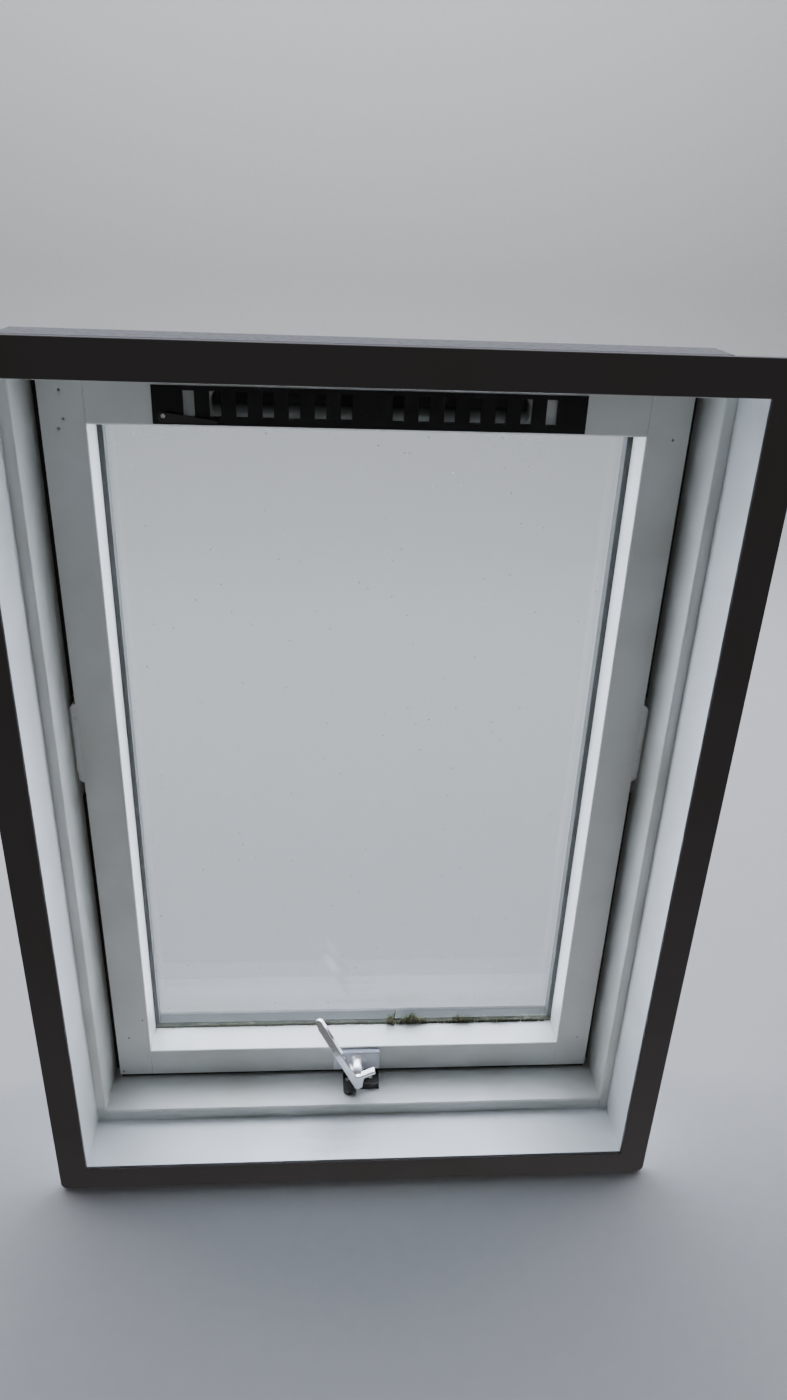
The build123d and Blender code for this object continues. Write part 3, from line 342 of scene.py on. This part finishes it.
def sheet_glass(name, dirt_edge, dirt_height, dirt_shares, dirt_colours):
    """Clear glass with a Fresnel mirror, specks, and dirt above an edge that is thicker on the right."""
    tree, surface, made = new_material(name, Roughness=0.9)
    tree.links.clear()
    leaving = add(tree, "ShaderNodeNewGeometry").outputs["Backfacing"]
    fresnel = add(tree, "ShaderNodeFresnel", {"IOR": 1.52})
    both = add(tree, "ShaderNodeMath", {0: fresnel, 1: both_faces}, operation="MULTIPLY")
    mirror = add(tree, "ShaderNodeMapRange", {0: leaving, 3: both, 4: 0.0})
    clear = add(tree, "ShaderNodeBsdfTransparent", {"Color": linear("#FAFBFB")})
    gloss = add(tree, "ShaderNodeBsdfGlossy", {"Color": linear("#FFFFFF"), "Roughness": 0.02})
    pane = add(tree, "ShaderNodeMixShader", {0: mirror, 1: clear, 2: gloss})
    cells = add(tree, "ShaderNodeTexVoronoi", {"Vector": place_on_piece(tree, speck_spacing), "Scale": 1.0})
    specks = add(tree, "ShaderNodeMapRange", {0: cells, 1: speck_size, 2: speck_size * 1.6, 3: 0.6, 4: 0.0})
    place = add(tree, "ShaderNodeSeparateXYZ", {0: place_on_piece(tree, 1.0)})
    ragged = mottle(tree, (0.014, 0.014, 0.008), 0.25, 0.75, 4.0)
    height = add(tree, "ShaderNodeMath", {
        0: ragged, 1: -0.6 * dirt_height, 2: place.outputs[2]}, operation="MULTIPLY_ADD")
    left_share, right_share = dirt_shares
    share = add(tree, "ShaderNodeMapRange", {
        0: place.outputs[0], 1: algae_from - algae_fade, 2: algae_from + algae_fade,
        3: left_share, 4: right_share})
    dirt = add(tree, "ShaderNodeMapRange", {
        0: height, 1: dirt_edge + 0.1 * dirt_height, 2: dirt_edge + 0.5 * dirt_height, 3: share, 4: 0.0})
    film = add(tree, "ShaderNodeMath", {0: specks, 1: dirt}, operation="MAXIMUM")
    dark, pale = dirt_colours
    earth = add(tree, "ShaderNodeMix", {0: ragged, 6: linear(dark), 7: linear(pale)}, data_type="RGBA")
    colour = add(tree, "ShaderNodeMix", {0: specks, 6: earth, 7: linear("#C9CDC8")}, data_type="RGBA")
    dress(surface, Base_Color=colour)
    glow = add(tree, "ShaderNodeBsdfTranslucent", {"Color": colour})
    layer = add(tree, "ShaderNodeMixShader", {0: glow_share, 1: surface, 2: glow})
    dust_and_shade = add(tree, "ShaderNodeMixShader", {0: film, 1: pane, 2: layer})
    put(tree, tree.nodes["Material Output"].inputs["Surface"], dust_and_shade)
    return made


rail_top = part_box("sash_bottom_rail")[1].z
spacer_top = rail_top + 5 * millimetre
algae_colours, grime_colours = ("#8B8F78", "#B3B6A4"), ("#4A4646", "#66626A")
inside_glass = sheet_glass("float_glass_inside", rail_top, 9 * millimetre, (0.55, 0.85), algae_colours)
outside_glass = sheet_glass("float_glass_outside", spacer_top, 2.5 * millimetre, (0.45, 0.7), grime_colours)
give(inside_glass, "inner_pane")
give(outside_glass, "outer_pane")
print("glass clear down to", round(rail_top, 4))

# %% [markdown]
# ## Rubber, plastic and foam
# The black parts differ in shine only: rubber seals are matt and a little dusty, the moulded
# grille, shutter and keeper are satin with a fine spark-eroded grain, the sealant is dull. A
# material each would repeat itself, so one recipe takes the colours, the shine and the grain.

# %% Rubber, plastic and foam
def moulded(name, colour, dust_and_shade, roughness, grain, **shader):
    """A moulded part: one colour with pale dust in its grain, and a relief of that grain."""
    tree, surface, made = new_material(name, Roughness=roughness, **shader)
    grains = mottle(tree, grain, 0.2, 0.8)
    dust = mottle(tree, 30 * millimetre, 0.5, 0.9, 4.0)
    blend = add(tree, "ShaderNodeMix", {0: dust, 6: linear(colour), 7: linear(dust_and_shade)}, data_type="RGBA")
    relief = add(tree, "ShaderNodeBump", {"Height": grains, "Distance": 0.03 * millimetre, "Strength": 0.5})
    dress(surface, Base_Color=blend, Normal=relief)
    return made


rubber = moulded("matt_rubber", "#1B1B1B", "#2C2C2A", 0.75, 1.0 * millimetre, IOR=1.52)
sealant = moulded("dull_sealant", "#202022", "#303030", 0.6, 3.0 * millimetre)
black_plastic = moulded("black_moulded_plastic", "#060607", "#0C0C0D", 0.5, 0.8 * millimetre,
                       Specular_IOR_Level=0.25)
polished_plastic = moulded("black_polished_plastic", "#0A0A0B", "#101012", 0.22, 0.8 * millimetre, IOR=1.53)
keeper_plastic = moulded("black_keeper_plastic", "#101011", "#1E1E1E", 0.36, 0.8 * millimetre, IOR=1.53)
spacer_plastic = moulded("grey_spacer_plastic", "#2E3331", "#27292B", 0.6, 1.0 * millimetre,
                        Specular_IOR_Level=0.12)
hard_plastic = moulded("grey_hard_plastic", "#6B6E6E", "#5C5E5E", 0.45, 1.0 * millimetre)
foam = moulded("filter_foam", "#777775", "#888884", 0.95, 2.5 * millimetre)
give(rubber, "frame_seal", "inner_gasket", "outer_gasket", "bottom_seal")
give(sealant, "edge_seal")
give(black_plastic, "vent_grille")
give(polished_plastic, "vent_shutter")
give(keeper_plastic, "sill_keeper")
give(spacer_plastic, "spacer_bar")
give(hard_plastic, "setting_blocks", "hinge_washer_left", "hinge_washer_right")
give(foam, "vent_filter")
print("rubber, plastic and foam dressed")

# %% [markdown]
# ## Handle
# The lever and its stem are plated with chrome over a cast body: a mirror with faint waves left
# by the polishing and duller prints of fingers, and the stem is duller all over. A perfect
# mirror would show the empty room as hard bands, so even the clean chrome blurs what it
# mirrors. The cap is die cast with silver paint, which is metal flakes under a thin clear skin,
# and its faces that look up are made darker with painted shade.

# %% Handle
def chrome(name, dullest):
    """Chrome plate: a mirror with faint waves from polishing and dull fingerprints on it."""
    tree, surface, made = new_material(name, Metallic=1.0, Base_Color=linear("#DCDDE0"))
    prints = mottle(tree, 9 * millimetre, 0.45, 0.75, 4.0)
    polish = mottle(tree, 4 * millimetre, 0.2, 0.8, 2.0)
    shine = add(tree, "ShaderNodeMapRange", {0: prints, 3: dullest / 2, 4: dullest})
    relief = add(tree, "ShaderNodeBump", {"Height": polish, "Distance": 0.05 * millimetre, "Strength": 0.4})
    dress(surface, Roughness=shine, Normal=relief)
    return made


def silver_paint():
    """Silver paint: flakes in two greys under a clear skin, with painted shade where it faces up."""
    tree, surface, made = new_material("silver_paint", Metallic=0.25, Coat_Weight=0.1, Coat_Roughness=0.3)
    flakes = mottle(tree, 0.9 * millimetre, 0.3, 0.7, 2.0)
    colour = add(tree, "ShaderNodeMix", {
        0: flakes, 6: linear("#D2D3DC"), 7: linear("#E2E3EC")}, data_type="RGBA")
    # painted shade: the faces that look up are mixed towards a darker grey
    facing = add(tree, "ShaderNodeSeparateXYZ", {0: add(tree, "ShaderNodeNewGeometry").outputs["Normal"]})
    top_shade = add(tree, "ShaderNodeMapRange", {0: facing.outputs[2], 1: 0.3, 2: 0.8})
    dust_and_shade = add(tree, "ShaderNodeMix", {0: top_shade, 6: colour, 7: linear("#6C6F79")}, data_type="RGBA")
    shine = add(tree, "ShaderNodeMapRange", {0: flakes, 3: 0.36, 4: 0.5})
    dress(surface, Base_Color=dust_and_shade, Roughness=shine)
    return made


give(chrome("bright_chrome", 0.22), "handle_lever")
give(chrome("worn_chrome", 0.55), "handle_stem")
give(silver_paint(), "handle_cover")
print("handle dressed")

# %% [markdown]
# ## Pieces too small for solids
# Moss and a rivet are left to Blender. Both are surfaces worked out as whole arrays of points.
# Every shoot of the moss is the same tapered tube, so one formula makes all of them at once:
# rings round a line that runs from a root to a tip. Scattering ready-made leaves would also do,
# but then they would not lean on the glass where the real ones do.

# %% Mesh from arrays
def piece_from(name, points, faces, material, body):
    """A smooth closed piece that moves with a body: points as an array, faces as lists of indices."""
    mesh = bpy.data.meshes.new(name)
    mesh.from_pydata(points.tolist(), [], faces)
    mesh.shade_smooth()
    shape = bmesh.new()
    shape.from_mesh(mesh)
    bmesh.ops.recalc_face_normals(shape, faces=shape.faces)
    shape.to_mesh(mesh)
    shape.free()
    mesh.materials.append(material)
    piece = bpy.data.objects.new(name, mesh)
    scene.collection.objects.link(piece)
    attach(piece, body)
    print(name, "has", len(mesh.polygons), "faces")
    return piece


# %% Moss
glass_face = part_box("inner_pane")[0].y
moss_root = (glass_face - 1.5 * millimetre, rail_top)
ring_count, side_count = 6, 5
chance = np.random.default_rng(7)


def shoots(roots, tips, widths, bows):
    """Tapered tubes: at t from 0 to 1 the line is root + t * (tip - root) + 4 * t * (1 - t) * bow,
    and the radius round it is width * (1 - t ** 3). The tip is one point, the root a flat end."""
    t = np.linspace(0, 1, ring_count + 1)[:-1, None]
    along = tips - roots
    line = roots[:, None] + along[:, None] * t + bows[:, None] * 4 * t * (1 - t)
    across = np.cross(along, (0, 1, 0.2))
    across /= np.linalg.norm(across, axis=1, keepdims=True)
    other = np.cross(along, across)
    other /= np.linalg.norm(other, axis=1, keepdims=True)
    angle = np.arange(side_count) * 2 * math.pi / side_count
    wheel = across[:, None] * np.cos(angle)[None, :, None] + other[:, None] * np.sin(angle)[None, :, None]
    radius = widths[:, None, None, None] * (1 - t ** 3)[None, :, None]
    rings = (line[:, :, None] + radius * wheel[:, None]).reshape(len(roots), -1, 3)
    points = np.concatenate([rings, tips[:, None]], axis=1)
    step = np.arange(side_count)
    low = (np.arange(ring_count - 1)[:, None] * side_count + step).ravel()
    low_next = (np.arange(ring_count - 1)[:, None] * side_count + (step + 1) % side_count).ravel()
    walls = np.column_stack([low, low_next, low_next + side_count, low + side_count])
    last = (ring_count - 1) * side_count
    summit = np.full(side_count, last + side_count)
    fan = np.column_stack([last + step, last + (step + 1) % side_count, summit])
    first = (np.arange(len(roots)) * points.shape[1])[:, None, None]
    groups = (walls + first, fan + first, step[::-1] + first)
    faces = [group.reshape(-1, group.shape[-1]).tolist() for group in groups]
    return points.reshape(-1, 3), sum(faces, [])


def tuft(count, x_low, x_high, tall, lean, width):
    """Roots along the joint between x_low and x_high, tips up to tall above it, fanning out by lean."""
    share = chance.uniform(0, 1, count)
    x = x_low + (x_high - x_low) * share
    root_y = moss_root[0] - chance.uniform(0, 1.2, count) * millimetre
    height = tall * chance.uniform(0.45, 1.0, count) * (0.55 + 0.45 * np.sin(math.pi * share))
    tip_x = x + (share - 0.5) * lean + chance.normal(0, 0.15, count) * height
    tip_y = glass_face - chance.uniform(0.5, 3.5, count) * millimetre
    roots = np.column_stack([x, root_y, np.full(count, moss_root[1])])
    tips = np.column_stack([tip_x, tip_y, moss_root[1] + height])
    bows = np.column_stack([chance.normal(0, 0.08, count) * height, np.zeros(count), np.zeros(count)])
    return roots, tips, width * chance.uniform(0.7, 1.3, count), bows


def moss_leaf():
    """Living moss: matt, yellow green at the light ends, nearly black in the wet roots."""
    tree, surface, made = new_material("wet_moss", Roughness=0.85)
    where = add(tree, "ShaderNodeSeparateXYZ", {0: place_on_piece(tree, millimetre, (0, 0, rail_top))})
    risen = add(tree, "ShaderNodeMapRange", {0: where.outputs[2], 1: 0.5, 2: 9.0})
    shades = mottle(tree, 3 * millimetre, 0.4, 0.6)
    tips = add(tree, "ShaderNodeMix", {
        0: shades, 6: linear("#555A40"), 7: linear("#83825E")}, data_type="RGBA")
    colour = add(tree, "ShaderNodeMix", {0: risen, 6: linear("#272B20"), 7: tips}, data_type="RGBA")
    dress(surface, Base_Color=colour)
    return made


# Each row is a clump: shoots, left and right end, height and spread in millimetres, and shoot radius.
clumps = [
    (60, 79, 92, 24, 6, 1.1), (50, 88, 106, 14, 10, 1.0), (40, 65, 79, 14, 6, 1.0),
    (24, 47, 59, 11, 6, 1.0), (8, 155, 161, 26, 4, 0.9), (60, 150, 180, 14, 8, 0.9),
    (30, 205, 240, 11, 4, 0.8), (300, 100, 290, 6, 2, 0.8), (120, -60, 80, 2.5, 1, 0.6),
    (140, -290, -60, 2.0, 1, 0.5),
]
parts = [tuft(count, *(np.array(sizes) * millimetre)) for count, *sizes in clumps]
# The taller sprig has its shoots listed one by one: tips, sideways bows and radii in millimetres.
sprig_root = np.array([56.0, 26.5, -442.5]) * millimetre
sprig_tips = np.array([
    (61.8, 27.4, -413.5), (48.5, 26.5, -425.5), (60.0, 26.0, -420.0), (51.0, 25.5, -431.0),
    (59.5, 25.0, -433.0), (53.0, 27.0, -424.0), (56.5, 26.8, -426.0),
]) * millimetre
sideways = np.array([-1.6, -1.0, -1.2, -0.6, 0.6, -0.8, 0])[:, None]
sprig_bows = sideways * (millimetre, 0, 0)
sprig_widths = np.array([1.8, 2.8, 1.8, 2.8, 2.4, 2.4, 2.2]) * millimetre
parts.append((np.tile(sprig_root, (len(sprig_tips), 1)), sprig_tips, sprig_widths, sprig_bows))
roots, tips, widths, bows = (np.concatenate(group) for group in zip(*parts))
moss = piece_from("moss_shoots", *shoots(roots, tips, widths, bows), moss_leaf(), "sash")

# %% [markdown]
# ## Rivet of the finger tab
# The tab that slides the vent's shutter ends in a small bright rivet. A head like this is a
# profile turned round an axis: height over radius is part of a circle, so it is lower at the rim.

# %% Rivet
rivet_place = (-0.2198, -0.0254, 0.4676)
rivet_radius, rivet_height = 2.4 * millimetre, 1.2 * millimetre
turns, steps = 32, 10


def domed_head(place, radius, height):
    """A dome towards -Y: at share s of the radius its height is that of a circle, sqrt(1 - s * s)."""
    share = np.linspace(1, 0, steps + 1)[:-1, None]
    angle = np.linspace(0, 2 * math.pi, turns, endpoint=False)[None]
    x = place[0] + radius * share * np.cos(angle)
    z = place[2] + radius * share * np.sin(angle)
    y = place[1] - height * np.sqrt(1 - share * share) * np.ones_like(angle)
    rings = np.stack([x, y, z], axis=2).reshape(-1, 3)
    foot = rings[:turns] + (0, 0.8 * millimetre, 0)
    points = np.vstack([foot, rings, [(place[0], place[1] - height, place[2])]])
    step = np.arange(turns)
    ring = np.arange(steps)[:, None] * turns
    walls = np.stack([ring + step, ring + (step + 1) % turns, ring + turns + (step + 1) % turns,
                      ring + turns + step], axis=2).reshape(-1, 4)
    last = steps * turns
    fan = np.column_stack([last + step, last + (step + 1) % turns, np.full(turns, last + turns)])
    return points, walls.tolist() + fan.tolist() + [step[::-1].tolist()]


rivet_steel = plated_steel()
rivet_steel.name = "bright_zinc_rivet"
rivet = piece_from("tab_rivet", *domed_head(rivet_place, rivet_radius, rivet_height), rivet_steel, "vent")

# %% [markdown]
# ## Room to stand in
# A photographer would put the window on a roll of pale paper that sweeps up behind it. The
# sweep is one profile of floor, quarter round and wall, carried sideways. It is stage, not part
# of the window.

# %% Paper sweep
def swept_sheet(name, profile, half_width):
    """A sheet from a profile of Y and Z points, carried from -half_width to half_width along X."""
    count = len(profile)
    xs = np.repeat([-half_width, half_width], count)
    points = np.column_stack([xs, np.tile(profile, (2, 1))])
    first = np.arange(count - 1)
    faces = np.column_stack([first, first + count, first + count + 1, first + 1])
    mesh = bpy.data.meshes.new(name)
    mesh.from_pydata(points.tolist(), [], faces.tolist())
    mesh.shade_smooth()
    sheet = bpy.data.objects.new(name, mesh)
    scene.collection.objects.link(sheet)
    return sheet


floor_height = cad_low.z - 0.001
floor_front, wall_depth, wall_top, sweep_radius, sweep_width = -8.0, 3.2, 4.0, 1.0, 6.0
turn = np.linspace(0, math.pi / 2, 24)
bend = np.column_stack([
    wall_depth - sweep_radius + sweep_radius * np.sin(turn),
    floor_height + sweep_radius - sweep_radius * np.cos(turn),
])
profile = np.vstack([[floor_front, floor_height], bend, [wall_depth, wall_top]])
paper = swept_sheet("paper_sweep", profile, sweep_width)
tree, surface, paper_material = new_material("pale_paper", Roughness=0.8)
fibres = mottle(tree, 0.017, 0.3, 0.7, 4.0)
colour = add(tree, "ShaderNodeMix", {0: fibres, 6: linear("#D2D4D6"), 7: linear("#D5D7D8")}, data_type="RGBA")
dress(surface, Base_Color=colour)
paper.data.materials.append(paper_material)
paper.visible_diffuse = False         # the paper is seen, but throws no light on the window
paper.visible_shadow = False
paper.visible_glossy = False
print("paper sweep at height", round(floor_height, 3))

# %% [markdown]
# ## Light
# In the room the daylight comes through the window, so the reveal is bright and whatever
# faces the room stays grey. Only a whole sky reaches the frame's inner faces, because the sash
# hides everything but very slanting light from them. A sun lamp that is nearly half a sphere
# wide does that. Its light is many times what the room has, and would bleach the outside, so
# light linking keeps it off the trim, the covers, the brackets and the outer glass. Those have
# the softer sky that the world gives. The sky overhead is brighter, so a second, narrower lamp
# comes from higher up and makes the lower half of the window brighter than the upper. The world
# is dim on the room's side, though mirrors see a brighter room than the paint does. One lamp
# lights the paper, and a weak one low in the room stands for its bright floor.

# %% Lights
def soft_lamp(name, place, aim, size, power, colour):
    """A lamp of some width and height at a place, turned so that it faces the aim."""
    data = bpy.data.lights.new(name, "AREA")
    data.shape = "RECTANGLE"
    data.size, data.size_y = size
    data.energy = power
    data.color = linear(colour)[:3]
    lamp = bpy.data.objects.new(name, data)
    scene.collection.objects.link(lamp)
    lamp.location = place
    direction = np.array(aim) - np.array(place)
    flat = math.hypot(direction[0], direction[1])
    lamp.rotation_euler = (math.atan2(flat, -direction[2]), 0, math.atan2(-direction[0], direction[1]))
    lamp.visible_camera = False
    return lamp


soft_lamp("backdrop", (0, 0.6, 2.6), (0, 3.2, 0.9), (5.0, 1.0), 170, "#F4F5F8")
room_lamp = soft_lamp("room", (0.3, -1.1, -0.95), (0, 0, -0.4), (1.0, 0.5), 3.8, "#F4F3F4")
room_lamp.visible_glossy = False

# %% Daylight through the window
shaded = ["rain_hood", "upper_cover_left", "upper_cover_right", "flank_cover_left", "flank_cover_right",
          "sill_cover", "side_cover_left", "side_cover_right", "top_cover", "bottom_cover", "outer_pane",
          "outer_gasket", "bracket_top_left", "bracket_top_right", "bracket_bottom_left",
          "bracket_bottom_right", "bracket_screws", "trim_head", "trim_sill", "trim_left", "trim_right"]
lit = bpy.data.collections.new("lit_by_daylight")
for name, node in nodes.items():
    if name not in shaded:
        lit.objects.link(node)
lit.objects.link(moss)
lit.objects.link(rivet)


def sky_patch(name, middle, width, power):
    """A round piece of sky about a direction, as wide as an angle in degrees, that lights the room side."""
    data = bpy.data.lights.new(name, "SUN")
    data.angle, data.energy, data.color = math.radians(width), power, linear("#E2E7F8")[:3]
    lamp = bpy.data.objects.new(name, data)
    scene.collection.objects.link(lamp)
    flat = math.hypot(middle[0], middle[1])
    lamp.rotation_euler = (math.atan2(flat, middle[2]), 0, math.atan2(middle[0], -middle[1]))
    lamp.light_linking.receiver_collection = lit


sky_patch("open_sky", (0.06, 1.0, 0.08), 168, 20)
sky_patch("bright_sky_overhead", (0.06, 0.8, 0.6), 70, 8)

# %% World
sky_light, ground_share, seen_light = 1.3, 0.5, 0.62
room_light, room_mirrored = (0.045, 0.03), (0.28, 0.62)      # each from below and from above
world = bpy.data.worlds.new("daylight")
world.use_nodes = True
tree = world.node_tree
looking = add(tree, "ShaderNodeTexCoord").outputs["Generated"]
way = add(tree, "ShaderNodeSeparateXYZ", {0: looking})
outdoors = add(tree, "ShaderNodeMapRange", {0: way.outputs[1], 1: 0.0, 2: 0.06})
above = add(tree, "ShaderNodeMapRange", {0: way.outputs[2], 1: -0.2, 2: 0.3, 3: ground_share, 4: 1.0})
open_sky = add(tree, "ShaderNodeMath", {0: outdoors, 1: above}, operation="MULTIPLY")
dim_room = add(tree, "ShaderNodeMapRange", {
    0: way.outputs[2], 1: -0.5, 2: 0.5, 3: room_light[0], 4: room_light[1]})
ray = add(tree, "ShaderNodeLightPath").outputs
mirrored = add(tree, "ShaderNodeMapRange", {
    0: way.outputs[2], 1: -0.3, 2: 0.4, 3: room_mirrored[0], 4: room_mirrored[1]})
room = add(tree, "ShaderNodeMapRange", {0: ray["Is Glossy Ray"], 3: dim_room, 4: mirrored})
daylight = add(tree, "ShaderNodeMapRange", {0: open_sky, 3: room, 4: sky_light})
strength = add(tree, "ShaderNodeMapRange", {0: ray["Is Camera Ray"], 3: daylight, 4: seen_light})
side = add(tree, "ShaderNodeMix", {
    0: outdoors, 6: linear("#F2F1EF"), 7: linear("#E2E7F8")}, data_type="RGBA")
tint = add(tree, "ShaderNodeMix", {
    0: ray["Is Camera Ray"], 6: side, 7: linear("#D2D4D6")}, data_type="RGBA")
put(tree, tree.nodes["Background"].inputs["Strength"], strength)
put(tree, tree.nodes["Background"].inputs["Color"], tint)
scene.world = world
print("sky at", sky_light, "and room at", room_light)
